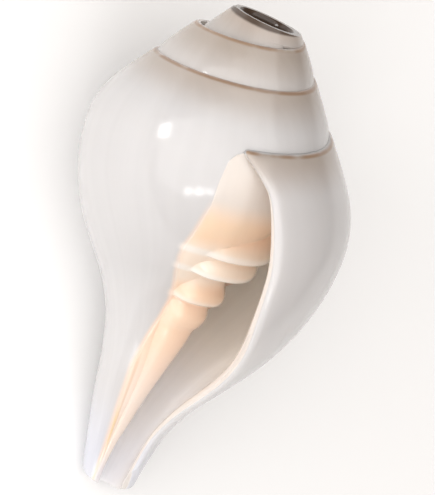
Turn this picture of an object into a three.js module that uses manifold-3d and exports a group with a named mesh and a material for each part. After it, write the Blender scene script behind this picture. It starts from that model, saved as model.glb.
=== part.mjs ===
// A blowing conch: a polished, right-opening chank shell about 155 mm long, with its apex sawn off
// to make the mouth hole. Millimetres, +Z up. The shell lies on its back with the mouth upwards.
//
// The shell is one coiled wall around a pillar (the columella). Both grow by one rule: every turn
// towards the mouth is GROWTH_PER_TURN times larger, measured from the point where the apex was.
// So each outline is drawn once, at its full-grown size, and turned and shrunk back to the apex.
import * as THREE from "three";
import { mergeVertices } from "three/addons/utils/BufferGeometryUtils.js";
import Module from "manifold-3d";

const wasm = await Module();
wasm.setup();

// Driving dimensions, in millimetres and degrees. Depths are measured along the coiling axis from
// the missing apex, and angles around the axis from the shell's right side, growing back from the
// mouth towards the apex.
const GROWTH_PER_TURN = 1.48;
const TIP_DEPTH = 179.4; // where the canal ends
const RIM_DEPTH = 18.0; // where the apex is sawn off
const RIM_TILT = 5; // the sawn rim is lower on the right
const RIM_LEAN = 3.5; // and at the back
const TIP_SLANT = 12; // the canal's end is longer at the back
const TIP_MIDDLE = [4.4, 1.5]; // the middle of the canal's rounded end, from the axis
const RIM_RADIUS = 11.5;
const RIM_OFFSET = 1.7; // from the axis to the middle of the sawn rim
const GROUND_SLOPE = 0.72; // the top turn is ground to a cone: radius gained for depth gained
const HOLE_RADIUS = 8.7;
const HOLE_END_RADIUS = 7.2;
const HOLE_DEPTH = 21;
const WALL_THICKNESS = 4.6; // full-grown, at the body of the shell
const BACK_THICKENING = 2.4; // added inside the wall where the shell lies on it
const BACK_ANGLE = 112;
const CANAL_THICKNESS = 3.0; // full-grown, along the canal
const WALL_BACK = 1170; // the wall is drawn back to this angle
const PILLAR_FRONT = -96; // the pillar's glaze ends here, on the turn before
const PILLAR_BACK = 720;

// The wall's outer outline, full-grown: radius from the axis and depth. The first point is inside
// the wall of the turn before, and the second makes the small ledge along the suture.
const WALL_OUTLINE = [
  [30.8, 46.4],
  [33.4, 46.5],
  [36.8, 50.8],
  [41.6, 57.4],
  [46.3, 65.1],
  [49.1, 74.4],
  [49.2, 83.7],
  [47.9, 93.0],
  [44.6, 103.9],
  [39.4, 114.7],
  [32.0, 125.6],
  [24.2, 136.4],
  [18.0, 148.8],
  [14.2, 164.3],
  [11.4, 182.9],
  [7.7, 201.5],
  [3.4, 223.0],
  [2.0, 246.0],
];

// Where the outer lip ends: depth and angle. It runs ahead at the suture, behind along the canal.
const LIP_EDGE = [
  [40, -78],
  [46, -74],
  [52, -63.5],
  [58, -57.5],
  [75, -53.5],
  [92, -50.5],
  [110, -44],
  [125, -41],
  [145, -42],
  [160, -35],
  [180, -29],
  [260, -29],
];

// The pillar's outline, full-grown: radius and depth. Four folds run around it, each with a long
// upper slope and a sharp lower edge. The first point is inside the wall of the turn before.
const PILLAR_OUTLINE = [
  [28.0, 70.5],
  [28.3, 77.0],
  [28.5, 81.0],
  [28.7, 84.4],
  [29.0, 87.4],
  [28.0, 89.8],
  [24.8, 90.6],
  [25.6, 93.0],
  [25.6, 95.8],
  [24.0, 97.7],
  [18.8, 98.3],
  [18.0, 101.6],
  [19.2, 105.8],
  [18.4, 108.6],
  [15.6, 109.8],
  [16.1, 114.4],
  [15.0, 117.4],
  [13.4, 120.2],
  [12.5, 124.7],
  [9.8, 135.0],
  [6.8, 146.6],
  [4.6, 156.8],
  [2.6, 167.0],
  [1.8, 182.0],
  [1.6, 215.0],
];

// How the shell lies: turned about its axis, which then points along +Y and slopes down towards
// the end of the canal.
const ROLL = -33.5;

// Mesh fineness.
const BODY_STEP = 10; // degrees between rings on the last turn
const SPIRE_STEP = 18; // degrees between rings on the turns before
const RINGS_PER_PART = 18;
const WALL_POINTS = 18; // stations along the wall's outer face
const FINE_POINTS = 6; // the inner face has the first of them, and half of the others
const ROUND_SIDES = 30;

const TURN = 360;

const LEDGE_RADIUS = WALL_OUTLINE[1][0];
const LAST_DEPTH = WALL_OUTLINE[WALL_OUTLINE.length - 1][1];
const FRONT_SHRINK = 0.03; // the pillar's front quarter narrows by this
const SINK = 0.7; // how far the pillar's edge is sunk into the turn before
const FOLD_DEPTHS = [87.4, 95.2, 106.8]; // the three strong folds run out over the turn before
const FOLD_HEIGHT = 0.9;
const FOLD_HALF_WIDTH = 2.6;

const { lerp, clamp, smoothstep, degToRad, radToDeg } = THREE.MathUtils;

// The size of the shell at an angle, against its size at the right side of the last turn.
function growth(angle) {
  return GROWTH_PER_TURN ** (-angle / TURN);
}

// A smooth curve through rows of [x, y], read at x.
function curveThrough(rows) {
  const cubic = new THREE.CubicInterpolant(rows.map((row) => row[0]), rows.map((row) => row[1]), 1);
  return (x) => cubic.evaluate(x)[0];
}

const lipAngle = curveThrough(LIP_EDGE);
const wallRadius = curveThrough(WALL_OUTLINE.slice(1).map(([r, depth]) => [depth, r]));

// A point at a radius and depth, turned around the axis to an angle.
function around(radius, depth, angle) {
  const turned = degToRad(angle);
  return new THREE.Vector3(radius * Math.cos(turned), radius * Math.sin(turned), -depth);
}

function wallThickness(radius, depth) {
  const fromSuture = lerp(0.5, 1, smoothstep(depth, 46, 66));
  const full = lerp(WALL_THICKNESS, CANAL_THICKNESS, smoothstep(depth, 100, 150));
  return Math.min(full * fromSuture, radius * 0.7);
}

// Matching points on the two faces of the wall, from the suture to the end of the canal.
function wallStations() {
  const curve = new THREE.SplineCurve(WALL_OUTLINE.map(([r, depth]) => new THREE.Vector2(r, depth)));
  return Array.from({ length: WALL_POINTS + 1 }, (_, i) => {
    const outer = curve.getPoint(i / WALL_POINTS);
    const along = curve.getTangent(i / WALL_POINTS);
    const thickness = wallThickness(outer.x, outer.y);
    const inward = new THREE.Vector2(-along.y, along.x).multiplyScalar(thickness);
    return { outer, inner: outer.clone().add(inward), thickness };
  });
}

// A closed solid from three.js geometry.
function solid(source) {
  const geometry = source.clone();
  geometry.deleteAttribute("normal");
  geometry.deleteAttribute("uv");
  const merged = mergeVertices(geometry, 1e-4);
  return new wasm.Manifold(
    new wasm.Mesh({
      numProp: 3,
      vertProperties: new Float32Array(merged.attributes.position.array),
      triVerts: new Uint32Array(merged.index.array),
    }),
  );
}

// A closed solid from rings of points that are closed at both ends with the same cap.
function solidFromRings(rings, outline) {
  const count = outline.length;
  const flat = outline.map(([r, depth]) => new THREE.Vector2(r, -depth));
  const last = (rings.length - 1) * count;
  const index = [];
  for (const [a, b, c] of THREE.ShapeUtils.triangulateShape(flat, [])) {
    index.push(a, b, c, last + a, last + c, last + b);
  }
  for (let ring = 0; ring + 1 < rings.length; ring += 1) {
    for (let i = 0; i < count; i += 1) {
      const here = ring * count + i;
      const beside = ring * count + ((i + 1) % count);
      index.push(here, here + count, beside + count, here, beside + count, beside);
    }
  }
  const geometry = new THREE.BufferGeometry();
  const positions = rings.flat().flatMap((point) => point.toArray());
  geometry.setAttribute("position", new THREE.Float32BufferAttribute(positions, 3));
  geometry.setIndex(index);
  return solid(geometry);
}

// Angles from start to end, in steps no larger than step.
function angles(start, end, step) {
  const count = Math.ceil((end - start) / step);
  return Array.from({ length: count + 1 }, (_, i) => start + ((end - start) * i) / count);
}

// Solids along a list of angles, each short enough not to meet itself and lapping over the next.
function coil(list, ringAt, outline) {
  const rings = list.map(ringAt);
  const parts = [];
  for (let first = 0; first + 2 < rings.length; first += RINGS_PER_PART - 1) {
    parts.push(solidFromRings(rings.slice(first, first + RINGS_PER_PART + 1), outline));
  }
  return parts;
}

// How far grinding takes the top turn of the spire inwards.
function groundAway(radius, depth, angle) {
  const cone = RIM_RADIUS + (depth - RIM_DEPTH) * GROUND_SLOPE + RIM_OFFSET * Math.cos(degToRad(angle));
  const buried = smoothstep(angle, 2.5 * TURN, 3 * TURN);
  const taken = Math.max(radius - Math.max(cone - buried, 1), 0);
  return taken * smoothstep(angle, 2 * TURN - 60, 2 * TURN + 60);
}

// The thickening behind the last turn, as a share of the whole.
function backing(depth, angle) {
  const aside = 1 - smoothstep(Math.abs(angle - BACK_ANGLE), 0, 75);
  return aside * smoothstep(depth, 58, 78) * (1 - smoothstep(depth, 96, 124));
}

// The coiled wall. Its first rings are the rounded edge of the outer lip.
function wallParts() {
  const stations = wallStations();
  const isKept = (i) => i < FINE_POINTS || i % 2 === 0;
  const faces = [
    ...stations.filter((_, i) => isKept(i)).map((s) => ({ ...s, own: s.inner, isInner: true })),
    ...stations.map((s) => ({ ...s, own: s.outer, isInner: false })).reverse(),
  ].map((face) => ({ ...face, lip: lipAngle(face.own.y) }));
  const ringAt = (angle) =>
    faces.map(({ own, outer, lip, isInner }) => {
      const here = angle + lip;
      const size = growth(here);
      const taken = groundAway(Math.max(outer.x, LEDGE_RADIUS) * size, outer.y * size, here);
      const added = isInner ? BACK_THICKENING * backing(outer.y, here) : 0;
      return around(own.x * size - taken - added, own.y * size, here);
    });
  // The lip's edge is a half circle across the wall: width across it, reach ahead of its middle.
  const lipRing = (rounding) =>
    faces.map(({ own, inner, outer, lip, thickness }) => {
      const point = inner.clone().lerp(outer, 0.5).lerp(own, Math.cos(degToRad(rounding)));
      const reach = (Math.sin(degToRad(rounding)) * thickness) / 2 / outer.x;
      const here = lip - Math.min(radToDeg(reach), 12);
      const size = growth(here);
      return around(point.x * size, point.y * size, here);
    });
  const outline = faces.map(({ own }) => [own.x, own.y]);
  const list = [...angles(0, TURN, BODY_STEP), ...angles(TURN, WALL_BACK, SPIRE_STEP).slice(1)];
  const lip = solidFromRings([lipRing(75), lipRing(38), ringAt(list[0]), ringAt(list[1])], outline);
  return [lip, ...coil(list, ringAt, outline)];
}

// The pillar's radius at a full-grown depth. Near the mouth its folds run square to the axis and
// fade out on the turn before; behind the canal it is grown together with the wall.
function pillarRadius(radius, depth, angle) {
  if (angle < 0) {
    const before = growth(angle + TURN);
    const surface = wallRadius(Math.min(depth / before, LAST_DEPTH)) * before;
    const sunk = clamp(surface - SINK, 1.2, radius);
    const crest = Math.max(...FOLD_DEPTHS.map((fold) => 1 - ((depth - fold) / FOLD_HALF_WIDTH) ** 2));
    const glaze = surface + FOLD_HEIGHT * crest * (1 - smoothstep(-angle, 84, 96));
    const onSurface = crest > 0 ? glaze : 0;
    return Math.max(lerp(radius, sunk, smoothstep(-angle, 56, 93)), onSurface);
  }
  const grown = smoothstep(angle, 70, 130) * smoothstep(depth, 118, 142);
  const wallHere = wallRadius(depth) - CANAL_THICKNESS / 2;
  return lerp(radius, Math.max(wallHere, radius), grown);
}

function pillarParts() {
  const [, firstDepth] = PILLAR_OUTLINE[0];
  const [, lastDepth] = PILLAR_OUTLINE[PILLAR_OUTLINE.length - 1];
  const core = [
    [0.7, lastDepth],
    [0.7, firstDepth + 22],
  ];
  const outline = [...PILLAR_OUTLINE, ...core].reverse();
  const ringAt = (angle) => {
    const size = angle < 0 ? 1 + (angle / 90) * FRONT_SHRINK : growth(angle);
    return outline.map(([radius, depth], i) => {
      const shaped = i < core.length ? radius : pillarRadius(radius, depth, angle);
      return around(shaped * size, depth * size, angle);
    });
  };
  const front = angles(PILLAR_FRONT, 0, BODY_STEP);
  const list = [...front, ...angles(0, PILLAR_BACK, SPIRE_STEP).slice(1)];
  return coil(list, ringAt, outline);
}

// A solid of revolution about the axis, from [radius, depth] points.
function turned(points) {
  const profile = points.map(([r, depth]) => new THREE.Vector2(r, -depth)).reverse();
  const geometry = new THREE.LatheGeometry(profile, ROUND_SIDES).rotateX(Math.PI / 2);
  return geometry;
}

function joinAll(parts) {
  return parts.reduce((a, b) => a.add(b));
}

function makeShell() {
  const core = turned([
    [0, 20],
    [1.2, 20],
    [2.0, TIP_DEPTH + 6],
    [0, TIP_DEPTH + 6],
  ]);
  // The oldest turns are filled with shell.
  const filled = turned([
    [0, 14],
    [RIM_RADIUS - 3.4, 14],
    [RIM_RADIUS + 2.0, 21.5],
    [RIM_RADIUS + 0.6, 25],
    [10, 29],
    [0, 29.5],
  ]).translate(RIM_OFFSET, 0, 0);
  const grown = joinAll([...wallParts(), ...pillarParts(), solid(core), solid(filled)]);

  // The top is sawn off, the canal ends aslant and rounded, and the mouth hole is drilled into the
  // old turns.
  const above = turned([
    [0, -30],
    [60, -30],
    [60, 0],
    [0, 0],
  ]);
  const beyond = turned([
    [0, 0],
    [3, -0.15],
    [5.4, -0.8],
    [7.6, -1.9],
    [9.4, -3.8],
    [60, -50],
    [60, 90],
    [0, 90],
  ]);
  const hole = turned([
    [0, -5],
    [HOLE_RADIUS + 0.4, -5],
    [HOLE_RADIUS, 0],
    [HOLE_END_RADIUS, HOLE_DEPTH - 2],
    [HOLE_END_RADIUS - 3, HOLE_DEPTH],
    [0, HOLE_DEPTH],
  ]);
  for (const cut of [above, hole]) {
    cut.rotateX(degToRad(-RIM_LEAN)).rotateY(degToRad(RIM_TILT)).translate(RIM_OFFSET, 0, -RIM_DEPTH);
  }
  beyond.rotateX(degToRad(-TIP_SLANT)).translate(...TIP_MIDDLE, -TIP_DEPTH);
  return [above, beyond, hole].reduce((shape, cut) => shape.subtract(solid(cut)), grown);
}

// The lowest point of some points, once the axis slopes by pitch degrees.
function lowest(points, pitch) {
  const slope = degToRad(pitch);
  return Math.min(...points.map((p) => p.y * Math.sin(slope) + p.z * Math.cos(slope)));
}

// The slope of the axis at which the canal's end and the body both touch the ground.
function restingPitch(points) {
  const isTip = (point) => point.y < -TIP_DEPTH + 30;
  const tip = points.filter(isTip);
  const body = points.filter((point) => !isTip(point));
  let [low, high] = [0, 45];
  for (let i = 0; i < 40; i += 1) {
    const middle = (low + high) / 2;
    if (lowest(tip, middle) > lowest(body, middle)) {
      low = middle;
    } else {
      high = middle;
    }
  }
  return low;
}

const made = makeShell();
const pieces = made.decompose().sort((a, b) => b.volume() - a.volume());
const mesh = pieces[0].getMesh();
const geometry = new THREE.BufferGeometry();
geometry.setAttribute("position", new THREE.Float32BufferAttribute(mesh.vertProperties, 3));
geometry.setIndex(new THREE.BufferAttribute(mesh.triVerts, 1));
geometry.rotateZ(degToRad(ROLL)).rotateX(degToRad(-90));
const vertices = [];
for (let i = 0; i < geometry.attributes.position.count; i += 1) {
  vertices.push(new THREE.Vector3().fromBufferAttribute(geometry.attributes.position, i));
}
const pitch = restingPitch(vertices);
geometry.rotateX(degToRad(pitch));
geometry.computeBoundingBox();
const middle = geometry.boundingBox.getCenter(new THREE.Vector3());
geometry.translate(-middle.x, -middle.y, -geometry.boundingBox.min.z);

const polished = new THREE.MeshStandardMaterial({ color: "#f1ece6", roughness: 0.2, metalness: 0 });
const shell = new THREE.Mesh(geometry, polished);
shell.name = "shell";
const group = new THREE.Group();
group.add(shell);
export default group;
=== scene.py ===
"""The looks of a polished blowing conch that lies on its back on a pale floor.

The shell is modelled in its own growing place, with the coiling axis upright and the missing apex at
the origin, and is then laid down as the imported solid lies. Sizes are in millimetres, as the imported
solid's source gives them, and meshes are in metres. A depth is measured down the axis from the apex,
and an angle around the axis from the shell's right side, growing back from the mouth to the apex.
"""

import logging
import math
from dataclasses import dataclass
from enum import Enum

import bpy
import numpy as np
from mathutils import Euler, Matrix, Vector
from mathutils.kdtree import KDTree

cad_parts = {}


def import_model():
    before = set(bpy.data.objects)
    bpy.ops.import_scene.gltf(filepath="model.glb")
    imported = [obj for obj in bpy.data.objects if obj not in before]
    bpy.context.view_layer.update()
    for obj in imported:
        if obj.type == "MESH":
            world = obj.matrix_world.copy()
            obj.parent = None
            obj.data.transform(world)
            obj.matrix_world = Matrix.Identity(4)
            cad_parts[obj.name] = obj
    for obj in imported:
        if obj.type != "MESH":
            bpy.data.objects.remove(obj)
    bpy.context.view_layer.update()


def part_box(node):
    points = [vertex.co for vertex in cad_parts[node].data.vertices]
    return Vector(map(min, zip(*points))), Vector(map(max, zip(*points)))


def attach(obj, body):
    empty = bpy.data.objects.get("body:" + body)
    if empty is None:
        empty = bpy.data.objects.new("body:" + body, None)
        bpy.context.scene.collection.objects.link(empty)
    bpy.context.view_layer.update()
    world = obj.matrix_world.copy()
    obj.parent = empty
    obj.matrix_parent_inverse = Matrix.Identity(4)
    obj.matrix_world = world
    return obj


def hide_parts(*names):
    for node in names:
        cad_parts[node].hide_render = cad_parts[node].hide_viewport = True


MM = 0.001
TURN = 360.0
APEX = (0.0, 0.0, 0.0)
OWN = ("radius", "depth", "side", "station")
RIM_DEPTH = 18.0
RIM_OFFSET = 1.7
Piece = bpy.types.Object

log = logging.getLogger("conch")


class Join(Enum):
    """What a boolean does to a piece."""

    UNION = "UNION"
    CUT = "DIFFERENCE"


def smoothstep(value: np.ndarray, low: float, high: float) -> np.ndarray:
    """A smooth rise from 0 to 1.

    Args:
        value: The numbers to read it at.
        low: Where it is still 0.
        high: Where it is 1.

    Returns:
        The rise at each number.
    """
    share = np.clip((np.asarray(value, float) - low) / (high - low), 0, 1)
    return share * share * (3 - 2 * share)


def smooth_curve(rows: tuple, count: int) -> np.ndarray:
    """A smooth line through points.

    Args:
        rows: The points it goes through, in order.
        count: How many points to return along it.

    Returns:
        An array with one point a row.
    """
    points = np.asarray(rows, float)
    place = np.linspace(0, len(points) - 1, count)
    first = np.minimum(place.astype(int), len(points) - 2)
    share = (place - first)[:, None]
    before = points[np.maximum(first - 1, 0)]
    start = points[first]
    end = points[first + 1]
    after = points[np.minimum(first + 2, len(points) - 1)]
    leaving = (end - before) / 2
    arriving = (after - start) / 2
    cubic = (2 * start - 2 * end + leaving + arriving) * share**3
    square = (-3 * start + 3 * end - 2 * leaving - arriving) * share**2
    return cubic + square + leaving * share + start


@dataclass(frozen=True)
class Growth:
    """The one rule of growth: every turn towards the mouth is larger by the same factor."""

    per_turn: float = 1.48

    def size(self, angle: np.ndarray) -> np.ndarray:
        """The size at an angle, against the size at the right side of the last turn."""
        return self.per_turn ** (-np.asarray(angle, float) / TURN)

    def angle(self, size: np.ndarray) -> np.ndarray:
        """The angle at which the shell had a size."""
        return -TURN * np.log(np.asarray(size, float)) / math.log(self.per_turn)


GROWTH = Growth()


def around(radius: np.ndarray, depth: np.ndarray, angle: np.ndarray) -> np.ndarray:
    """Points at a radius and depth, turned around the axis.

    Args:
        radius: Distances from the axis, in millimetres.
        depth: Distances down the axis from the apex, in millimetres.
        angle: Angles around the axis, in degrees.

    Returns:
        An array with one point a row, in millimetres.
    """
    turned = np.radians(angle)
    return np.stack([radius * np.cos(turned), radius * np.sin(turned), -depth], axis=1)


class Section:
    """Helpers for one piece of shell that is swept around the axis from a flat strip."""

    @staticmethod
    def coordinates(piece: Piece) -> np.ndarray:
        """The places of a piece's vertices, in millimetres.

        Args:
            piece: The piece.

        Returns:
            One point a row.
        """
        flat = np.zeros(len(piece.data.vertices) * 3)
        piece.data.vertices.foreach_get("co", flat)
        return flat.reshape(-1, 3) / MM

    @staticmethod
    def move_vertices(piece: Piece, places: np.ndarray) -> None:
        """Puts a piece's vertices at places given in millimetres."""
        piece.data.vertices.foreach_set("co", (places * MM).ravel())
        piece.data.update()

    @staticmethod
    def write(piece: Piece, name: str, values: np.ndarray) -> None:
        """Gives each vertex of a piece a value under a name."""
        layer = piece.data.attributes.get(name) or piece.data.attributes.new(name, "FLOAT", "POINT")
        layer.data.foreach_set("value", np.asarray(values, np.float32))

    @staticmethod
    def own(piece: Piece) -> tuple[np.ndarray, ...]:
        """Reads where a piece's vertices are on the flat strip that it was swept from.

        Args:
            piece: The piece.

        Returns:
            Their full-grown radius and depth, whether they are inside, and their station.
        """
        values = np.zeros((len(OWN), len(piece.data.vertices)), np.float32)
        for part, row in zip(OWN, values):
            piece.data.attributes[f"own_{part}"].data.foreach_get("value", row)
        radius, depth, side, station = values.astype(float)
        return radius, depth, side > 0, station.astype(int)

    @staticmethod
    def choose(piece: Piece) -> None:
        """Selects one piece alone and makes it the active one.

        Args:
            piece: The piece.
        """
        bpy.ops.object.select_all(action="DESELECT")
        piece.select_set(True)
        bpy.context.view_layer.objects.active = piece

    @classmethod
    def strip(cls, name: str, outer: np.ndarray, inner: np.ndarray) -> Piece:
        """A flat strip of faces between two lines, standing along the axis.

        Args:
            name: The new piece's name.
            outer: Radius and depth of the points of its outer line.
            inner: The same for its inner line, point for point.

        Returns:
            The piece. Its vertices carry their full-grown radius and depth, their side and their station.
        """
        bpy.ops.object.select_all(action="DESELECT")
        spans = len(outer) - 1
        bpy.ops.mesh.primitive_grid_add(x_subdivisions=spans, y_subdivisions=1, size=1)
        piece = bpy.context.object
        piece.name = name
        flat = cls.coordinates(piece) * MM
        station = np.rint((flat[:, 0] + 0.5) * spans).astype(int)
        side = (flat[:, 1] > 0).astype(int)
        own = np.where(side[:, None] == 1, inner[station], outer[station])
        for part, values in zip(OWN, (own[:, 0], own[:, 1], side, station)):
            cls.write(piece, f"own_{part}", values)
        return piece

    @staticmethod
    def sweep(piece: Piece, count: int, step: float, factor: float) -> None:
        """Extrudes a piece's faces around the axis, turning and shrinking them to the apex.

        Args:
            piece: The flat strip to extrude.
            count: How many times to extrude.
            step: The turn of each one, in degrees.
            factor: The change of size of each one.
        """
        bpy.context.view_layer.objects.active = piece
        bpy.ops.object.mode_set(mode="EDIT")
        bpy.ops.mesh.select_mode(type="FACE")
        bpy.ops.mesh.select_all(action="SELECT")
        for _ in range(count):
            bpy.ops.mesh.extrude_region_move()
            bpy.ops.transform.rotate(value=-math.radians(step), orient_axis="Z", center_override=APEX)
            bpy.ops.transform.resize(value=(factor, factor, factor), center_override=APEX)
        bpy.ops.object.mode_set(mode="OBJECT")

    @staticmethod
    def older_copy(piece: Piece, angle: float) -> Piece:
        """A copy of a piece as it was some angle earlier: turned back and smaller.

        Args:
            piece: The piece to copy.
            angle: How far back, in degrees.

        Returns:
            The copy, with its own mesh.
        """
        Section.choose(piece)
        bpy.ops.object.duplicate()
        copy = bpy.context.object
        copy.rotation_euler.z = math.radians(angle)
        copy.scale = (float(GROWTH.size(angle)),) * 3
        bpy.ops.object.transform_apply(location=True, rotation=True, scale=True)
        return copy

    @staticmethod
    def face_outwards(piece: Piece) -> None:
        """Turns all faces of a closed piece outwards.

        Args:
            piece: The piece.
        """
        Section.choose(piece)
        bpy.ops.object.mode_set(mode="EDIT")
        bpy.ops.mesh.select_all(action="SELECT")
        bpy.ops.mesh.normals_make_consistent(inside=False)
        bpy.ops.object.mode_set(mode="OBJECT")

    @staticmethod
    def combine(piece: Piece, other: Piece, how: Join) -> None:
        """Joins a second closed piece to the first, or cuts it out of it, and removes the second.

        Args:
            piece: The piece that stays.
            other: The piece that is used up.
            how: Whether it is joined or cut out.
        """
        Section.choose(piece)
        bpy.ops.object.modifier_add(type="BOOLEAN")
        boolean = piece.modifiers[-1]
        boolean.operation = how.value
        boolean.solver = "MANIFOLD"
        boolean.object = other
        bpy.ops.object.modifier_apply(modifier=boolean.name)
        bpy.data.objects.remove(other)


@dataclass(frozen=True)
class Wall:
    """The coiled wall of the shell, with the rounded edge of its outer lip."""

    outline: tuple = (
        (30.8, 46.4), (33.4, 46.5), (36.8, 50.8), (41.6, 57.4), (46.3, 65.1), (49.1, 74.4),
        (49.2, 83.7), (47.9, 93.0), (44.6, 103.9), (39.4, 114.7), (32.0, 125.6), (24.2, 136.4),
        (18.0, 148.8), (14.2, 164.3), (11.4, 182.9), (7.7, 201.5), (3.4, 223.0), (2.0, 246.0),
    )
    lip_edge: tuple = (
        (40, -78), (46, -74), (52, -63.5), (58, -57.5), (75, -53.5), (92, -50.5), (110, -44),
        (125, -41), (145, -42), (160, -35), (180, -29), (260, -29),
    )
    body_thickness: float = 4.6
    canal_thickness: float = 3.0
    thin_at_suture: tuple = (46, 66)
    thin_to_canal: tuple = (100, 150)
    most_of_radius: float = 0.7
    back_thickening: float = 2.4
    back_angle: float = 112.0
    back_half_width: float = 75.0
    back_start: tuple = (58, 78)
    back_end: tuple = (96, 124)
    rim_radius: float = 11.5
    ground_slope: float = 0.72
    ground_angles: tuple = (2 * TURN - 60, 2 * TURN + 60)
    buried_angles: tuple = (2.5 * TURN, 3 * TURN)
    least_radius: float = 1.0
    stations: int = 100
    half_turns: int = 6
    step: float = 3.0
    lip_roundings: tuple = (18, 36, 54, 72, 86)
    most_rounding: float = 12.0
    lip_points: int = 400
    outline_points: int = 600
    inner_smoothings: int = 3

    @property
    def ledge_radius(self) -> float:
        """The radius of the small ledge that runs along the suture."""
        return self.outline[1][0]

    @property
    def ledge_depth(self) -> float:
        """The full-grown depth of that ledge."""
        return self.outline[1][1]

    def lip(self, depth: np.ndarray) -> np.ndarray:
        """The angle at which the outer lip ends, at full-grown depths."""
        edge = smooth_curve(self.lip_edge, self.lip_points)
        return np.interp(depth, edge[:, 0], edge[:, 1])

    def radius(self, depth: np.ndarray) -> np.ndarray:
        """The wall's outer radius at full-grown depths."""
        line = smooth_curve(self.outline[1:], self.outline_points)
        return np.interp(depth, line[:, 1], line[:, 0])

    def faces(self) -> tuple[np.ndarray, np.ndarray, np.ndarray]:
        """The wall's two faces.

        Returns:
            Radius and depth of its outer points and of its inner points, and its thickness there.
        """
        outer = smooth_curve(self.outline, self.stations + 1)
        along = np.gradient(outer, axis=0)
        along /= np.linalg.norm(along, axis=1)[:, None]
        from_suture = (1 + smoothstep(outer[:, 1], *self.thin_at_suture)) / 2
        to_canal = smoothstep(outer[:, 1], *self.thin_to_canal)
        full = self.body_thickness + (self.canal_thickness - self.body_thickness) * to_canal
        thickness = np.minimum(full * from_suture, outer[:, 0] * self.most_of_radius)
        inner = outer + np.stack([-along[:, 1], along[:, 0]], axis=1) * thickness[:, None]
        for _ in range(self.inner_smoothings):
            inner[1:-1] = (inner[:-2] + 2 * inner[1:-1] + inner[2:]) / 4
        return outer, inner, thickness

    def ground_away(self, radius: np.ndarray, depth: np.ndarray, angle: np.ndarray) -> np.ndarray:
        """How far the grinding of the top turn takes the wall inwards, in millimetres.

        Args:
            radius: How far out the wall's points were.
            depth: Their depths.
            angle: Their angles.

        Returns:
            What is taken off each radius.
        """
        lean = RIM_OFFSET * np.cos(np.radians(angle))
        cone = self.rim_radius + (depth - RIM_DEPTH) * self.ground_slope + lean
        buried = smoothstep(angle, *self.buried_angles)
        taken = np.maximum(radius - np.maximum(cone - buried, self.least_radius), 0)
        return taken * smoothstep(angle, *self.ground_angles)

    def backing(self, depth: np.ndarray, angle: np.ndarray) -> np.ndarray:
        """The share of the thickening inside the wall's back.

        Args:
            depth: Full-grown depths.
            angle: Angles around the axis.

        Returns:
            A share from 0 to 1.
        """
        aside = smoothstep(np.abs(angle - self.back_angle), 0, self.back_half_width)
        below = smoothstep(depth, *self.back_end)
        return (1 - aside) * smoothstep(depth, *self.back_start) * (1 - below)

    def place(self, piece: Piece) -> None:
        """Leans a coiled piece with the lip, grinds its top and thickens its back.

        Args:
            piece: The piece.
        """
        outer, _, _ = self.faces()
        radius, depth, inside, station = Section.own(piece)
        face = outer[station]
        size = -Section.coordinates(piece)[:, 2] / depth
        angle = np.round(GROWTH.angle(size), 1) + self.lip(depth)
        size = GROWTH.size(angle)
        ledge = np.maximum(face[:, 0], self.ledge_radius)
        taken = self.ground_away(ledge * size, face[:, 1] * size, angle)
        added = inside * self.back_thickening * self.backing(face[:, 1], angle)
        Section.move_vertices(piece, around(radius * size - taken - added, depth * size, angle))

    def round_lip(self, piece: Piece) -> None:
        """Rounds the front edge of the wall's first piece, with a few more rings of faces.

        Args:
            piece: The piece.
        """
        outer, inner, thickness = self.faces()
        Section.choose(piece)
        bpy.ops.object.mode_set(mode="EDIT")
        bpy.ops.mesh.select_mode(type="FACE")
        bpy.ops.mesh.select_all(action="DESELECT")
        bpy.ops.object.mode_set(mode="OBJECT")
        _, depth, _, _ = Section.own(piece)
        size = -Section.coordinates(piece)[:, 2] / depth
        front = np.abs(GROWTH.angle(size) - self.lip(depth)) < self.step / 4
        for polygon in piece.data.polygons:
            polygon.select = all(front[list(polygon.vertices)])
        middle = (outer + inner) / 2
        for rounding in self.lip_roundings:
            bpy.ops.object.mode_set(mode="EDIT")
            bpy.ops.mesh.extrude_region_move()
            bpy.ops.object.mode_set(mode="OBJECT")
            chosen = np.zeros(len(piece.data.vertices), bool)
            piece.data.vertices.foreach_get("select", chosen)
            radius, depth, _, station = (values[chosen] for values in Section.own(piece))
            own = np.stack([radius, depth], axis=1)
            across = math.cos(math.radians(rounding))
            point = middle[station] + (own - middle[station]) * across
            reach = math.sin(math.radians(rounding)) * thickness[station] / 2 / outer[station][:, 0]
            here = self.lip(depth) - np.minimum(np.degrees(reach), self.most_rounding)
            size = GROWTH.size(here)
            places = Section.coordinates(piece)
            places[chosen] = around(point[:, 0] * size, point[:, 1] * size, here)
            Section.move_vertices(piece, places)

    def build(self) -> list[Piece]:
        """Makes the wall.

        Returns:
            Its half turns, closed, each lapping over the next by one step.
        """
        outer, inner, _ = self.faces()
        first = Section.strip("wall", outer, inner)
        radius, depth, _, _ = Section.own(first)
        Section.move_vertices(first, around(radius, depth, np.zeros(len(depth))))
        count = round(TURN / 2 / self.step) + 1
        Section.sweep(first, count, self.step, float(GROWTH.size(self.step)))
        parts = [first]
        for half in range(1, self.half_turns):
            parts.append(Section.older_copy(first, half * TURN / 2))
        for part in parts:
            self.place(part)
        self.round_lip(first)
        for part in parts:
            Section.face_outwards(part)
        return parts


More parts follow.
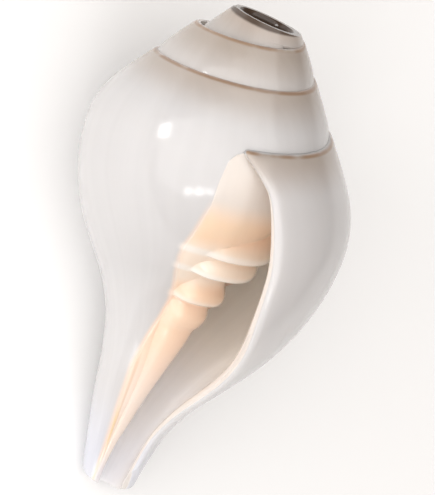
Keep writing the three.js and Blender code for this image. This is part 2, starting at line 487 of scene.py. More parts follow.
@dataclass(frozen=True)
class Pillar:
    """The folded pillar, whose glaze runs out on the turn before."""

    outline: tuple = (
        (28.0, 70.5), (28.3, 77.0), (28.5, 81.0), (28.7, 84.4), (29.0, 87.4), (28.0, 89.8),
        (24.8, 90.6), (25.6, 93.0), (25.6, 95.8), (24.0, 97.7), (18.8, 98.3), (18.0, 101.6),
        (19.2, 105.8), (18.4, 108.6), (15.6, 109.8), (16.1, 114.4), (15.0, 117.4), (13.4, 120.2),
        (12.5, 124.7), (9.8, 135.0), (6.8, 146.6), (4.6, 156.8), (2.6, 167.0), (1.8, 182.0),
        (1.6, 215.0),
    )
    core_radius: float = 0.7
    core_start: float = 22.0
    front: float = -108.0
    half_turns: int = 4
    step: float = 3.0
    stations: int = 140
    front_shrink: float = 0.03
    least_grown: float = 0.5
    sink: float = 0.7
    sinking_angles: tuple = (56, 93)
    least_radius: float = 1.2
    fold_depths: tuple = (87.4, 95.2, 106.8)
    fold_height: float = 0.9
    fold_half_width: float = 2.6
    fold_fading: tuple = (84, 96)
    meets_wall_angles: tuple = (70, 130)
    meets_wall_depths: tuple = (118, 142)
    ridge_line: tuple = ((126, -95), (134, -93), (151, -92), (160, -87), (168, -84))
    second_ridge: float = 12.5
    ridge_height: float = 0.55
    ridge_half_width: float = 4.2
    ridge_start: tuple = (124, 134)
    ridge_end: tuple = (158, 170)
    ridge_foot: float = 0.03

    def size(self, angle: np.ndarray) -> np.ndarray:
        """The pillar's size at an angle: in front it shrinks a little, behind it keeps to the rule."""
        return np.where(angle < 0, 1 + angle / (TURN / 4) * self.front_shrink, GROWTH.size(angle))

    def from_ridge(self, depth: np.ndarray, angle: np.ndarray) -> np.ndarray:
        """The angle from the first of the canal's ridges back to points, in degrees."""
        return angle - np.interp(depth, *np.asarray(self.ridge_line, float).T)

    def ridges(self, depth: np.ndarray, angle: np.ndarray) -> np.ndarray:
        """How high the two low ridges stand along the canal, where the glaze ends on the turn before.

        Args:
            depth: Depths down the axis.
            angle: Angles around the axis.

        Returns:
            Heights, in millimetres.
        """
        along = smoothstep(depth, *self.ridge_start) * (1 - smoothstep(depth, *self.ridge_end))
        height = np.zeros(np.shape(depth))
        for ridge in (0, self.second_ridge):
            aside = (self.from_ridge(depth, angle) - ridge) / self.ridge_half_width
            height = np.maximum(height, np.exp(-(aside**2)))
        return height * along * self.ridge_height

    def shaped(self, wall: Wall, radius: np.ndarray, depth: np.ndarray, angle: np.ndarray) -> np.ndarray:
        """The pillar's radius. In front it sinks into the turn before; behind it meets the wall.

        Args:
            wall: The wall that it stands in.
            radius: Full-grown radii of its outline.
            depth: Full-grown depths of its outline.
            angle: Angles around the axis.

        Returns:
            The full-grown radii at those angles.
        """
        before = GROWTH.size(angle + TURN)
        surface = wall.radius(np.minimum(depth / before, wall.outline[-1][1])) * before
        sunk = np.clip(surface - self.sink, self.least_radius, radius)
        humps = [1 - ((depth - fold) / self.fold_half_width) ** 2 for fold in self.fold_depths]
        crest = np.max(humps, axis=0)
        glaze = surface + self.fold_height * crest * (1 - smoothstep(-angle, *self.fold_fading))
        share = smoothstep(-angle, *self.sinking_angles)
        fronting = np.maximum(radius + (sunk - radius) * share, np.where(crest > 0, glaze, 0))
        ridge = self.ridges(depth, angle)
        raised = np.where(ridge > self.ridge_foot, surface + ridge - self.ridge_foot, 0)
        fronting = np.maximum(fronting, raised)
        grown = smoothstep(angle, *self.meets_wall_angles) * smoothstep(depth, *self.meets_wall_depths)
        meeting = np.maximum(wall.radius(depth) - wall.canal_thickness / 2, radius)
        return np.where(angle < 0, fronting, radius + (meeting - radius) * grown)

    def place(self, piece: Piece, wall: Wall) -> None:
        """Shapes a swept piece of the pillar to the wall and the turn before.

        Args:
            piece: The piece.
            wall: The wall that it stands in.
        """
        radius, depth, inside, _ = Section.own(piece)
        places = Section.coordinates(piece)
        grown = GROWTH.angle(-places[:, 2] / depth)
        turned = np.degrees(np.arctan2(places[:, 1], places[:, 0]))
        angle = np.where(grown > self.least_grown, grown, np.minimum(turned, 0))
        angle = np.round(angle, 1) + 0.0
        shaped = np.where(inside, radius, self.shaped(wall, radius, depth, angle))
        size = self.size(angle)
        Section.move_vertices(piece, around(shaped * size, depth * size, angle))

    def build(self, wall: Wall) -> list[Piece]:
        """Makes the pillar.

        Args:
            wall: The wall that it stands in.

        Returns:
            Its closed pieces: the front, and half turns that lap over each other.
        """
        outer = smooth_curve(self.outline, self.stations + 1)
        first, last = self.outline[0][1], self.outline[-1][1]
        core_depth = np.interp(outer[:, 1], [first, last], [first + self.core_start, last])
        core = np.stack([np.full(len(outer), self.core_radius), core_depth], axis=1)
        pieces = []
        plans = ((self.front, -self.front, 1.0), (0.0, TURN / 2, float(GROWTH.size(self.step))))
        for start, span, factor in plans:
            piece = Section.strip("pillar", outer, core)
            radius, depth, _, _ = Section.own(piece)
            Section.move_vertices(piece, around(radius, depth, np.full(len(depth), start)))
            lap = 1 if factor < 1 else 0
            Section.sweep(piece, round(span / self.step) + lap, self.step, factor)
            pieces.append(piece)
        pieces += [Section.older_copy(pieces[1], half * TURN / 2) for half in range(1, self.half_turns)]
        for piece in pieces:
            self.place(piece, wall)
            Section.face_outwards(piece)
        return pieces


@dataclass(frozen=True)
class Cuts:
    """The core and filled top of the shell, and what was sawn, ground and drilled off it."""

    sides: int = 72
    tip_depth: float = 179.4
    tip_slant: float = 12.0
    tip_middle: tuple = (4.4, 1.5)
    tip_dome: tuple = ((0.3, 0), (3, -0.15), (5.4, -0.8), (7.6, -1.9), (9.4, -3.8), (13, -8.1))
    tip_waste: tuple = ((60, -50), (60, 90))
    rim_tilt: float = 5.0
    rim_lean: float = 3.5
    rim_waste: tuple = ((60, -30), (60, 0))
    hole_bevel: tuple = ((9.9, -5), (9.2, -0.1))
    hole_profile: tuple = ((8.7, 0.5), (8.2, 7), (7.5, 14), (6.8, 18), (5.2, 20.2), (2.2, 21))
    hole_rings: int = 22
    dome_rings: int = 18
    core_radii: tuple = (1.2, 2.0)
    core_top: float = 20.0
    core_past_tip: float = 6.0
    filling: tuple = ((8.1, 14), (13.5, 21.5), (12.1, 25), (10, 29), (1, 29.5))

    def turned(self, name: str, points: tuple) -> Piece:
        """A round solid, turned about the axis as on a lathe.

        Args:
            name: The new piece's name.
            points: Radius and depth of its outline, from its top disc to its bottom disc.

        Returns:
            The closed piece.
        """
        bpy.ops.object.select_all(action="DESELECT")
        radius, depth = points[0]
        bpy.ops.mesh.primitive_circle_add(
            vertices=self.sides, radius=radius * MM, fill_type="NGON", location=(0, 0, -depth * MM)
        )
        piece = bpy.context.object
        piece.name = name
        bpy.ops.object.transform_apply(location=True, rotation=True, scale=True)
        bpy.ops.object.mode_set(mode="EDIT")
        bpy.ops.mesh.select_all(action="SELECT")
        for next_radius, next_depth in points[1:]:
            fall = (0, 0, (depth - next_depth) * MM)
            bpy.ops.mesh.extrude_region_move(TRANSFORM_OT_translate={"value": fall})
            ratio = next_radius / radius
            centre = (0, 0, -next_depth * MM)
            bpy.ops.transform.resize(value=(ratio, ratio, 1), center_override=centre)
            radius, depth = next_radius, next_depth
        bpy.ops.object.mode_set(mode="OBJECT")
        Section.face_outwards(piece)
        return piece

    @staticmethod
    def set_at(piece: Piece, lean: float, tilt: float, place: tuple) -> None:
        """Tilts a piece about the axis's foot and moves it, in millimetres.

        Args:
            piece: The piece.
            lean: Its tilt away from the viewer, in degrees.
            tilt: Its tilt to the right, in degrees.
            place: Where its foot goes.
        """
        piece.rotation_euler = (math.radians(-lean), math.radians(tilt), 0)
        piece.location = Vector(place) * MM
        bpy.ops.object.transform_apply(location=True, rotation=True, scale=True)

    def fillings(self) -> list[Piece]:
        """The thin core along the axis, and the shell that fills the oldest turns.

        Returns:
            Both closed pieces.
        """
        top, bottom = self.core_radii
        ends = ((top, self.core_top), (bottom, self.tip_depth + self.core_past_tip))
        core = self.turned("core", ends)
        filled = self.turned("filled", self.filling)
        self.set_at(filled, 0, 0, (RIM_OFFSET, 0, 0))
        return [core, filled]

    def cutters(self) -> list[Piece]:
        """The solids that are cut away: the sawn top, the blow hole and the end of the canal.

        Returns:
            The closed pieces.
        """
        rim = (RIM_OFFSET, 0, -RIM_DEPTH)
        above = self.turned("above", self.rim_waste)
        self.set_at(above, self.rim_lean, self.rim_tilt, rim)
        drilled = tuple(map(tuple, smooth_curve(self.hole_profile, self.hole_rings)))
        hole = self.turned("hole", self.hole_bevel + drilled)
        self.set_at(hole, self.rim_lean, self.rim_tilt, rim)
        dome = tuple(map(tuple, smooth_curve(self.tip_dome, self.dome_rings)))
        beyond = self.turned("beyond", dome + self.tip_waste)
        self.set_at(beyond, self.tip_slant, 0, (*self.tip_middle, -self.tip_depth))
        return [above, hole, beyond]


@dataclass(frozen=True)
class LyingPose:
    """How the shell lies on its back: turned about its axis, which slopes down to the canal's end."""

    roll: float = -33.5
    slope: float = 20.2168
    moved: tuple = (-4.241, 91.263, 67.987)

    def matrix(self) -> Matrix:
        """The move from the shell's growing place to where it lies, in metres.

        Returns:
            The move as one matrix.
        """
        lean = Matrix.Rotation(math.radians(self.slope - 90), 4, "X")
        turn = Matrix.Rotation(math.radians(self.roll), 4, "Z")
        return Matrix.Translation(Vector(self.moved) * MM) @ lean @ turn


@dataclass(frozen=True)
class Coiled:
    """Where points lie on the coil: distances in millimetres, angles in degrees."""

    radius: np.ndarray
    depth: np.ndarray
    turned: np.ndarray
    front: np.ndarray

    @classmethod
    def read(cls, places: np.ndarray, first: float) -> "Coiled":
        """Reads where places lie.

        Args:
            places: One point a row, in millimetres.
            first: The angle from which the last turn's angles are counted.

        Returns:
            Their radius, depth, angle within a half turn either way, and angle in the last turn.
        """
        turned = np.degrees(np.arctan2(places[:, 1], places[:, 0]))
        front = np.where(turned < first, turned + TURN, turned)
        return cls(np.hypot(places[:, 0], places[:, 1]), -places[:, 2], turned, front)

    @property
    def size(self) -> np.ndarray:
        """The size of the last turn there."""
        return GROWTH.size(self.front)

    @property
    def own_depth(self) -> np.ndarray:
        """The depth there in the last turn, full-grown."""
        return self.depth / self.size


@dataclass(frozen=True)
class Zones:
    """What each point of the surface is, read from where it lies on the coil, in millimetres."""

    wall: Wall
    pillar: Pillar
    cuts: Cuts
    glaze_edge: tuple = (
        (46, -70), (50.6, -75.9), (52.7, -79.1), (54.7, -81.5), (62, -82.3), (70, -81.8), (80, -84),
        (86, -86), (91, -86), (97, -83.5), (103.6, -78), (109, -75), (115, -77), (122, -84),
        (128, -88.5), (134, -93), (151, -92.5), (160, -88), (168, -84), (182, -84),
    )
    glaze_height: float = 0.3
    glaze_step: tuple = (-1.0, 0.8)
    glaze_top: tuple = (50, 54)
    glaze_bottom: tuple = (84, 88)
    least_radius: float = 0.1
    first_angle: float = -110.0
    last_turn_from: float = 46.6
    any_turn_from: float = 46.3
    turns: tuple = (-1, 0, 1, 2, 3)
    nearer_by: float = 0.2
    before_lip: float = 7.0
    before_any_lip: float = 8.0
    lip_width: float = 22.0
    lip_from: float = 60.0
    lip_thickness_share: float = 1.8
    lip_thickness_more: float = 0.5
    lining_from: float = 1.6
    suture_turns: float = 2.4
    suture_step: float = 0.4
    bore_margin: float = 0.1
    bore_past_end: float = 1.0
    far: float = 20.0
    far_below: float = 30.0
    far_behind: float = 60.0

    def from_suture(self, places: np.ndarray) -> list[float]:
        """How far points lie from the line along which each turn meets the one before.

        Args:
            places: One point a row.

        Returns:
            One distance a point.
        """
        depth = self.wall.ledge_depth
        first = float(self.wall.lip(depth)) - 1
        angles = np.arange(first, self.suture_turns * TURN, self.suture_step)
        size = GROWTH.size(angles)
        taken = self.wall.ground_away(self.wall.ledge_radius * size, depth * size, angles)
        line = around(self.wall.ledge_radius * size - taken, depth * size, angles)
        tree = KDTree(len(line))
        for i, point in enumerate(line):
            tree.insert(point, i)
        tree.balance()
        return [tree.find(Vector(place))[2] for place in places]

    def bore(self, places: np.ndarray) -> np.ndarray:
        """How far points near the top lie outside the drilled hole; far away for all others.

        Args:
            places: One point a row.

        Returns:
            One distance a point.
        """
        cuts = self.cuts
        lean, tilt = math.radians(-cuts.rim_lean), math.radians(cuts.rim_tilt)
        leaning = Matrix.Rotation(tilt, 3, "Y") @ Matrix.Rotation(lean, 3, "X")
        axis = np.array(leaning @ Vector((0, 0, 1)))
        offset = places - np.array([RIM_OFFSET, 0, -RIM_DEPTH])
        along = offset @ axis
        aside = np.linalg.norm(offset - along[:, None] * axis, axis=1)
        hole_radius, hole_depth = cuts.hole_profile[0][0], cuts.hole_profile[-1][1]
        near = along > -hole_depth - self.bore_past_end
        return np.where(near, aside - hole_radius - self.bore_margin, self.far)

    def glaze(self, at: Coiled) -> np.ndarray:
        """How far points lie behind the edge of the glaze on the turn before."""
        edge = np.asarray(self.glaze_edge, float)
        return (at.front - np.interp(at.depth, edge[:, 0], edge[:, 1])) * np.radians(at.radius)

    def behind_lip(self, at: Coiled) -> np.ndarray:
        """The angle from the outer lip's edge back to points, in degrees."""
        return at.front - self.wall.lip(at.own_depth)

    def under_surface(self, at: Coiled) -> np.ndarray:
        """How far points lie under the last turn's outer surface; nothing for older turns."""
        under = self.wall.radius(at.own_depth) * at.size - at.radius
        return np.where(at.own_depth > self.last_turn_from, under, 0.0)

    def on_lip(self, at: Coiled) -> np.ndarray:
        """Which points belong to the edge of the outer lip.

        Args:
            at: Where the points lie.

        Returns:
            True for those.
        """
        outer, _, thickness = self.wall.faces()
        thick = self.lip_thickness_share * np.interp(at.own_depth, outer[:, 1], thickness) * at.size
        in_wall = self.under_surface(at) < thick + self.lip_thickness_more
        return (self.behind_lip(at) > -self.lip_width) & in_wall & (at.depth > self.lip_from)

    def inside(self, at: Coiled) -> np.ndarray:
        """How far points lie in from the edge of the lining of the mouth, or of the glaze.

        Args:
            at: Where the points lie.

        Returns:
            One distance a point, below 0 outside.
        """
        glaze = self.glaze(at)
        lined = (self.behind_lip(at) > -self.before_lip) | self.on_lip(at)
        return np.where(lined, np.minimum(glaze, self.under_surface(at) - self.lining_from), glaze)

    def off_pillar(self, at: Coiled) -> np.ndarray:
        """How far points lie outside the middle between the pillar and the wall's lining.

        Args:
            at: Where the points lie.

        Returns:
            One distance a point, below 0 nearer to the pillar.
        """
        before = GROWTH.size(at.front + TURN)
        ceiling = self.wall.radius(at.depth / before) * before
        outline = np.asarray(self.pillar.outline, float)
        size = self.pillar.size(at.front)
        own_depth = at.depth / size
        pillar = np.interp(own_depth, outline[:, 1], outline[:, 0]) * size
        pillar = np.where(own_depth < outline[0, 1], ceiling, pillar)
        _, inner, _ = self.wall.faces()
        lining = np.interp(at.own_depth, inner[:, 1], inner[:, 0]) * at.size
        lined = self.behind_lip(at) > -self.before_lip
        off = np.where(lined, at.radius - (pillar + lining) / 2, -self.far)
        return np.where(self.on_lip(at), self.far, off)

    def outer_turns(self, at: Coiled) -> tuple[np.ndarray, np.ndarray]:
        """Finds the turn whose outer surface each point is nearest to.

        Args:
            at: Where the points lie.

        Returns:
            How far they lie under that turn's suture, and the angle from the lip back to them.
        """
        below = np.full(len(at.depth), self.far_below)
        age = np.zeros(len(at.depth))
        best = np.full(len(at.depth), np.inf)
        for turn in self.turns:
            angle = at.turned + turn * TURN
            size = GROWTH.size(angle)
            own_depth = at.depth / size
            gap = np.abs(self.wall.radius(own_depth) * size - at.radius)
            from_lip = angle - self.wall.lip(own_depth)
            real = (own_depth > self.any_turn_from) & (from_lip > -self.before_any_lip)
            nearer = real & (gap < best - self.nearer_by)
            best = np.where(nearer, gap, best)
            below = np.where(nearer, at.depth - self.wall.ledge_depth * size, below)
            age = np.where(nearer, from_lip, age)
        return below, age

    def glaze_raised(self, at: Coiled) -> np.ndarray:
        """How much thicker the glaze makes the turn before, in front of the lip.

        Args:
            at: Where the points lie.

        Returns:
            One thickness a point.
        """
        before = self.behind_lip(at) < -self.before_lip
        raised = self.glaze_height * smoothstep(self.glaze(at), *self.glaze_step) * before
        low = smoothstep(at.depth, *self.glaze_bottom)
        return raised * smoothstep(at.depth, *self.glaze_top) * (1 - low)

    def write(self, shell: Piece) -> None:
        """Raises the glaze a little and writes the zones, while the shell still stands on its axis.

        Args:
            shell: The shell.
        """
        places = Section.coordinates(shell)
        at = Coiled.read(places, self.first_angle)
        below, age = self.outer_turns(at)
        behind = self.behind_lip(at) * np.radians(at.radius)
        values = {
            "inside": np.clip(self.inside(at), -self.far, self.far),
            "behind_lip": np.clip(behind, -self.far, self.far_behind),
            "off_pillar": np.clip(self.off_pillar(at), -self.far, self.far),
            "suture": np.clip(self.from_suture(places), 0, self.far),
            "below_suture": np.clip(below, 0, self.far_below),
            "age": age / TURN,
            "depth": at.depth,
            "fold_depth": at.depth / self.pillar.size(at.front),
            "bore": np.clip(self.bore(places), -self.far, self.far),
            "ridge": self.pillar.from_ridge(at.depth, at.front),
        }
        for name, value in values.items():
            Section.write(shell, name, value)
        outwards = places * np.array([1, 1, 0]) / np.maximum(at.radius, self.least_radius)[:, None]
        Section.move_vertices(shell, places + outwards * self.glaze_raised(at)[:, None])


def linear(code: str) -> tuple[float, float, float, float]:
    """A colour's linear values from its sRGB hex code.

    Args:
        code: The code, such as #ffffff.

    Returns:
        Red, green, blue and a full alpha.
    """
    parts = [int(code[i:i + 2], 16) / 255 for i in (1, 3, 5)]
    values = [c / 12.92 if c <= 0.04045 else ((c + 0.055) / 1.055) ** 2.4 for c in parts]
    return (values[0], values[1], values[2], 1.0)


def add_node(
    tree: bpy.types.NodeTree, kind: str, inputs: dict | None = None, **settings: str
) -> bpy.types.Node:
    """Adds a node.

    Args:
        tree: The material's node tree.
        kind: The node's type name.
        inputs: For each input, by name or number, a value or the socket to link to it.
        **settings: The node's own settings.

    Returns:
        The node.
    """
    node = tree.nodes.new(kind)
    for name, value in settings.items():
        setattr(node, name, value)
    for name, value in (inputs or {}).items():
        if isinstance(value, bpy.types.NodeSocket):
            tree.links.new(value, node.inputs[name])
        else:
            node.inputs[name].default_value = value
    return node


@dataclass(frozen=True)
class Tint:
    """One tint of the shell, laid over the ones before it.

    A condition is a zone with the value at which it begins to count and the one at which it
    counts in full. All of a tint's conditions are multiplied.
    """

    colour: str
    strength: float
    where: tuple[tuple[str, float, float], ...]


LINED = ("inside", -0.25, 0.35)
ON_PILLAR = ("off_pillar", 1.5, 0.2)
CREST = (("inside", -3.0, 0.5), ON_PILLAR)


@dataclass(frozen=True)
class PolishedShell:
    """Aragonite shell, cleaned of its skin, ground and buffed: white porcelain with a warm inside."""

    white: str = "#d3d1d1"
    tints: tuple[Tint, ...] = (
        # Older turns are a little greyer and warmer: partly the shell's own tone, partly painted shade
        # that darkens the spire.
        Tint("#b8ab9f", 0.3, (("age", 0.75, 1.9),)),
        # Painted shade under each suture's ledge: a warm tan band below the suture, partly a warmer tone
        # of the shell there.
        Tint("#a08870", 0.55, (("below_suture", 12, 0),)),
        # The canal's end is bluish, like thin porcelain.
        Tint("#d5d7e1", 0.8, (("depth", 140, 172),)),
        # A brown line of old dirt in the suture.
        Tint("#94704f", 0.7, (("suture", 1.2, 0.3), ("stain", 0.25, 0.55))),
        # The lining of the mouth: cream, whiter towards the canal, and beige close behind the lip.
        # Painted light: deep in the mouth the lining is near white, lighter than its own cream, to
        # brighten the hollow.
        Tint("#fcf3ea", 1.0, (LINED,)),
        Tint("#fbf8f8", 1.0, (LINED, ("depth", 122, 146))),
        Tint("#f3f3f9", 1.0, (LINED, ("depth", 148, 170))),
        Tint("#dfd6cf", 1.0, (LINED, ("off_pillar", 0, 2), ("behind_lip", 12, 2))),
        # The glaze on the turn before and the pillar: cream above, peach from there down.
        Tint("#e4dad2", 1.0, (LINED, ON_PILLAR)),
        Tint("#fdd8bc", 1.0, (("inside", -2.0, 1.5), ON_PILLAR, ("depth", 66, 76))),
        Tint("#f8e6d6", 1.0, (("inside", -2.0, 1.5), ON_PILLAR, ("depth", 80, 87))),
        Tint("#f9dac2", 1.0, (("inside", -1.5, 1.2), ON_PILLAR, ("depth", 98, 103))),
        Tint("#f4e5da", 1.0, (("inside", -1.0, 0.9), ON_PILLAR, ("depth", 116, 150))),
        Tint("#dfdce2", 0.9, (("inside", -0.5, 0.9), ON_PILLAR, ("depth", 166, 176))),
        # The crests of the three folds, nearly white.
        Tint("#fbf1e9", 0.9, (*CREST, ("fold_depth", 86.6, 88.6), ("fold_depth", 91.0, 89.4))),
        Tint("#fbf1e9", 0.9, (*CREST, ("fold_depth", 94.8, 96.8), ("fold_depth", 98.6, 97.6))),
        Tint("#f8e8dc", 0.7, (*CREST, ("fold_depth", 106.4, 108.2), ("fold_depth", 110.2, 109.0))),
        # The groove between the two ridges of the canal, and a yellow stain beside it.
        Tint("#dcc0a4", 0.5, (
            ("ridge", 1.0, 5.0), ("ridge", 11.0, 7.0), ("depth", 126, 134), ("depth", 170, 158),
        )),
        Tint("#ead09c", 0.6, (
            ("ridge", -7, -1), ("ridge", 9, 3), ("depth", 148, 156), ("depth", 168, 161),
        )),
        # The sawn rim, brown: partly staining, partly painted shade; the hole, duller; and between them a
        # dark band at the hole's edge, painted shade over some brown staining.
        Tint("#5f5249", 1.0, (("bore", 3.0, 2.5),)),
        Tint("#c6b8ad", 1.0, (("bore", -0.2, -0.9),)),
        Tint("#4f4035", 0.95, (("bore", 1.4, 0.6), ("bore", -1.2, -0.4))),
    )
    roughness: float = 0.15
    ior: float = 1.5
    glow: float = 0.6
    glow_reach: tuple[float, float, float] = (6.6, 6.3, 6.0)
    patches: tuple = (("cloud", 22.2, 3.0), ("stain", 9.1, 2.0))
    line_spacing: float = 5.15
    line_detail: float = 3.0
    body_radius: float = 49.2
    mottling_read: tuple[float, float] = (0.6, 1.4)
    mottling: tuple[float, float] = (0.975, 1.015)
    glaze_edge: tuple[float, float] = (-0.4, 0.3)
    glaze_edge_height: float = 0.0003

    def material(self) -> bpy.types.Material:
        """Builds the material.

        Returns:
            The material, with all its zones and tints.
        """
        made = bpy.data.materials.new("polished_aragonite_shell")
        made.use_nodes = True
        tree = made.node_tree
        tree.nodes.clear()
        place = add_node(tree, "ShaderNodeTexCoord").outputs["Object"]
        zones = {}
        for name, size, detail in self.patches:
            patch = {"Vector": place, "Scale": 1 / (size * MM), "Detail": detail}
            zones[name] = add_node(tree, "ShaderNodeTexNoise", patch).outputs["Fac"]
        names = {name for tint in self.tints for name, _, _ in tint.where} - set(zones)
        for name in sorted(names):
            zones[name] = add_node(tree, "ShaderNodeAttribute", attribute_name=name).outputs["Fac"]

        colour = linear(self.white)
        for tint in self.tints:
            share = tint.strength
            for name, start, full in tint.where:
                read = {"Value": zones[name], "From Min": start, "From Max": full}
                met = add_node(tree, "ShaderNodeMapRange", read, interpolation_type="SMOOTHSTEP")
                shares = {0: share, 1: met.outputs["Result"]}
                share = add_node(tree, "ShaderNodeMath", shares, operation="MULTIPLY").outputs["Value"]
            colours = {0: share, 6: colour, 7: linear(tint.colour)}
            colour = add_node(tree, "ShaderNodeMix", colours, data_type="RGBA").outputs[2]

        # Faint growth lines and clouds, and the low step at the edge of the glaze. Age is in turns,
        # so the lines are spaced along the girth of the body.
        lines_per_turn = math.tau * self.body_radius / self.line_spacing
        growth = {"W": zones["age"], "Scale": lines_per_turn, "Detail": self.line_detail}
        lines = add_node(tree, "ShaderNodeTexNoise", growth, noise_dimensions="1D")
        noises = {0: zones["cloud"], 1: lines.outputs["Fac"]}
        mottled = add_node(tree, "ShaderNodeMath", noises, operation="ADD")
        light = add_node(tree, "ShaderNodeMapRange", {
            "Value": mottled.outputs["Value"],
            "From Min": self.mottling_read[0],
            "From Max": self.mottling_read[1],
            "To Min": self.mottling[0],
            "To Max": self.mottling[1],
        })
        lit = {"Value": light.outputs["Result"], "Color": colour}
        shaded = add_node(tree, "ShaderNodeHueSaturation", lit)
        step = add_node(tree, "ShaderNodeMapRange", {
            "Value": zones["inside"],
            "From Min": self.glaze_edge[0],
            "From Max": self.glaze_edge[1],
            "To Max": self.glaze_edge_height,
        }, interpolation_type="SMOOTHSTEP")
        height = {"Height": step.outputs["Result"], "Strength": 1.0, "Distance": 1.0}
        bump = add_node(tree, "ShaderNodeBump", height)
        shader = add_node(tree, "ShaderNodeBsdfPrincipled", {
            "Base Color": shaded.outputs["Color"],
            "Roughness": self.roughness,
            "IOR": self.ior,
            "Subsurface Weight": self.glow,
            "Subsurface Radius": self.glow_reach,
            "Subsurface Scale": MM,
            "Normal": bump.outputs["Normal"],
        })
        add_node(tree, "ShaderNodeOutputMaterial", {"Surface": shader.outputs["BSDF"]})
        return made


@dataclass(frozen=True)
class Conch:
    """The whole shell: wall, pillar and fillings grown together, sawn and drilled, and laid down."""

    wall: Wall = Wall()
    pillar: Pillar = Pillar()
    cuts: Cuts = Cuts()
    pose: LyingPose = LyingPose()
    finish: PolishedShell = PolishedShell()
    smooth_angle: float = 38.0
    share_of_box: float = 0.9995

    def grow(self) -> Piece:
        """Joins all that grew and takes away what was cut.

        Returns:
            The shell, still standing on its axis.
        """
        parts = self.wall.build() + self.pillar.build(self.wall) + self.cuts.fillings()
        shell, *others = parts
        for other in others:
            Section.combine(shell, other, Join.UNION)
        for cutter in self.cuts.cutters():
            Section.combine(shell, cutter, Join.CUT)
        return shell

    @staticmethod
    def keep_largest(shell: Piece) -> Piece:
        """Keeps the largest of a piece's loose parts, and removes closed bubbles and slivers.

        Args:
            shell: The piece.

        Returns:
            Its largest part.
        """
        Section.choose(shell)
        bpy.ops.object.mode_set(mode="EDIT")
        bpy.ops.mesh.select_all(action="SELECT")
        bpy.ops.mesh.separate(type="LOOSE")
        bpy.ops.object.mode_set(mode="OBJECT")
        parts = sorted(bpy.context.selected_objects, key=lambda part: -len(part.data.vertices))
        for part in parts[1:]:
            bpy.data.objects.remove(part)
        return parts[0]

    def build(self, low: Vector, high: Vector) -> Piece:
        """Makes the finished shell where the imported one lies.

        Args:
            low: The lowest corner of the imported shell's box.
            high: Its highest corner.

        Returns:
            The shell.
        """
        shell = self.keep_largest(self.grow())
        shell.name = "conch"
        Zones(self.wall, self.pillar, self.cuts).write(shell)
        shell.data.transform(self.pose.matrix())
        places = Section.coordinates(shell) * MM
        middle = (low + high) / 2
        foot = np.array([middle.x, middle.y, low.z])
        room = np.array(high) - np.array(low)
        ratio = min(*(room / np.ptp(places, axis=0)), 1.0)
        centre = (places.min(0) + places.max(0)) / 2
        centre[2] = places[:, 2].min()
        Section.move_vertices(shell, ((places - centre) * ratio * self.share_of_box + foot) / MM)
        log.info("the smooth shell is %.4f of the packed one's size", ratio)
        for part in OWN:
            layer = shell.data.attributes.get(f"own_{part}")
            if layer:
                shell.data.attributes.remove(layer)
        Section.choose(shell)
        bpy.ops.object.shade_smooth_by_angle(angle=math.radians(self.smooth_angle))
        shell.data.materials.clear()
        shell.data.materials.append(self.finish.material())
        return shell


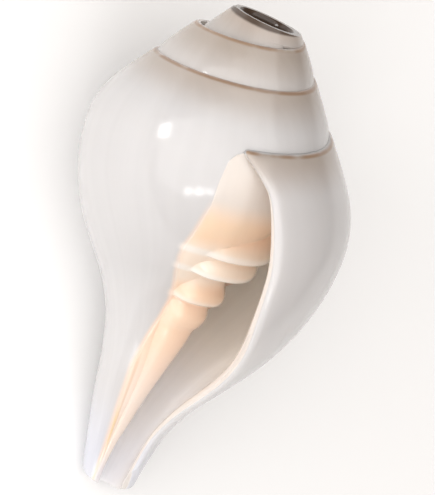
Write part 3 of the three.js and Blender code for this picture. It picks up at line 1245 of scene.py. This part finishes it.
@dataclass(frozen=True)
class Studio:
    """A pale floor, soft lights and the camera at the photograph's viewing angle."""

    pose: LyingPose
    raised: float = 15.7
    rolled: float = 20.07
    pivot_depth: float = 86.8
    distance: float = 806.0
    lens: float = 189.1
    sensor_width: float = 36.0
    nearest_seen: float = 0.05
    aim_right: float = 9.42
    aim_up: float = -7.94
    window_spacing: float = 1.5
    floor_size: float = 8.0
    paper_roughness: float = 0.9
    room_colour: str = "#ffe6d0"
    room_strength: float = 0.12

    def basis(self) -> tuple[Vector, Vector, Vector, Vector]:
        """The camera's directions in the room.

        Returns:
            Its right, its up, the way from the shell to it, and the point of the axis it turns about.
        """
        laid = self.pose.matrix()
        raised, rolled = math.radians(self.raised), math.radians(self.rolled)
        level = Vector((0, math.sin(raised), math.cos(raised)))
        right = Vector((math.cos(rolled), 0, 0)) + level * math.sin(rolled)
        up = Vector((-math.sin(rolled), 0, 0)) + level * math.cos(rolled)
        back = Vector((0, -math.cos(raised), math.sin(raised)))
        turn = laid.to_3x3()
        pivot = laid @ Vector((0, 0, -self.pivot_depth * MM))
        return turn @ right, turn @ up, turn @ back, pivot

    @staticmethod
    def facing(up: Vector, back: Vector) -> Euler:
        """The turn of a camera or light whose back points one way, upright as the camera sees it."""
        side = up.cross(back).normalized()
        return Matrix((side, back.cross(side), back)).transposed().to_euler()

    def camera(self) -> None:
        """Makes the scene's camera."""
        right, up, back, pivot = self.basis()
        bpy.ops.object.camera_add()
        camera = bpy.context.object
        camera.data.lens = self.lens
        camera.data.sensor_width = self.sensor_width
        camera.data.clip_start = self.nearest_seen
        camera.location = pivot + back * self.distance * MM
        aim = pivot + (right * self.aim_right + up * self.aim_up) * MM
        away = (camera.location - aim).normalized()
        camera.rotation_euler = self.facing(up, away)
        bpy.context.scene.camera = camera
        log.info("camera %.1f degrees over the floor", math.degrees(math.asin(away.z)))

    def light(self, name: str, place: tuple, size: tuple, power: float, colour: str) -> None:
        """Adds a soft light that faces the shell, upright as the camera sees it.

        Args:
            name: Its name.
            place: How far to the camera's right, up and back it stands from the shell, in metres.
            size: Its width and height, in metres.
            power: Its power, in watts.
            colour: Its colour, as a hex code.
        """
        right, up, back, pivot = self.basis()
        bpy.ops.object.light_add(type="AREA")
        lamp = bpy.context.object
        lamp.name = name
        lamp.data.shape = "RECTANGLE"
        lamp.data.size, lamp.data.size_y = size
        lamp.data.energy = power
        lamp.data.color = linear(colour)[:3]
        lamp.location = pivot + right * place[0] + up * place[1] + back * place[2]
        lamp.rotation_euler = self.facing(up, (lamp.location - pivot).normalized())

    def window(self, name: str, place: tuple, panes: tuple, pane: tuple, power: float) -> None:
        """Adds a window of bright panes, which the polish of the shell reflects as a small grid.

        Args:
            name: Its name.
            place: How far to the camera's right, up and back its middle is from the shell, in metres.
            panes: How many panes it has across and up.
            pane: The width and height of a pane, in metres.
            power: The power of each pane, in watts.
        """
        for across in range(panes[0]):
            for row in range(panes[1]):
                aside = (across - (panes[0] - 1) / 2) * pane[0] * self.window_spacing
                above = (row - (panes[1] - 1) / 2) * pane[1] * self.window_spacing
                at = (place[0] + aside, place[1] + above, place[2])
                self.light(f"{name}_{across}_{row}", at, pane, power, "#ffffff")

    def floor(self) -> None:
        """Lays a plain pale floor."""
        bpy.ops.object.select_all(action="DESELECT")
        bpy.ops.mesh.primitive_plane_add(size=self.floor_size)
        floor = bpy.context.object
        floor.name = "floor"
        paper = bpy.data.materials.new("matt_white_paper")
        paper.use_nodes = True
        shader = paper.node_tree.nodes["Principled BSDF"]
        shader.inputs["Base Color"].default_value = linear("#fcfcfc")
        shader.inputs["Roughness"].default_value = self.paper_roughness
        floor.data.materials.append(paper)

    def build(self) -> None:
        """Sets the whole studio up."""
        self.floor()
        self.camera()
        self.light("front", place=(0.22, -0.1, 1.5), size=(4.6, 3.4), power=73.0, colour="#fffefd")
        self.window(
            "window_left", place=(-0.731, 0.422, 0.838), panes=(2, 3), pane=(0.09, 0.08), power=0.36
        )
        self.window(
            "window_below", place=(-0.211, -0.869, 0.80), panes=(2, 1), pane=(0.13, 0.14), power=0.6
        )
        world = bpy.data.worlds.new("soft_room")
        bpy.context.scene.world = world
        world.use_nodes = True
        background = world.node_tree.nodes["Background"]
        background.inputs["Color"].default_value = linear(self.room_colour)
        background.inputs["Strength"].default_value = self.room_strength
        bpy.context.scene.view_settings.view_transform = "Standard"


def main() -> None:
    """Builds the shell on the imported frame, then the studio around it."""
    logging.basicConfig(level=logging.INFO, format="%(name)s: %(message)s")
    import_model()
    conch = Conch().build(*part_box("shell"))
    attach(conch, "root")
    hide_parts("shell")
    log.info("%s has %d faces", conch.name, len(conch.data.polygons))
    Studio(LyingPose()).build()


if __name__ == "__main__":
    main()
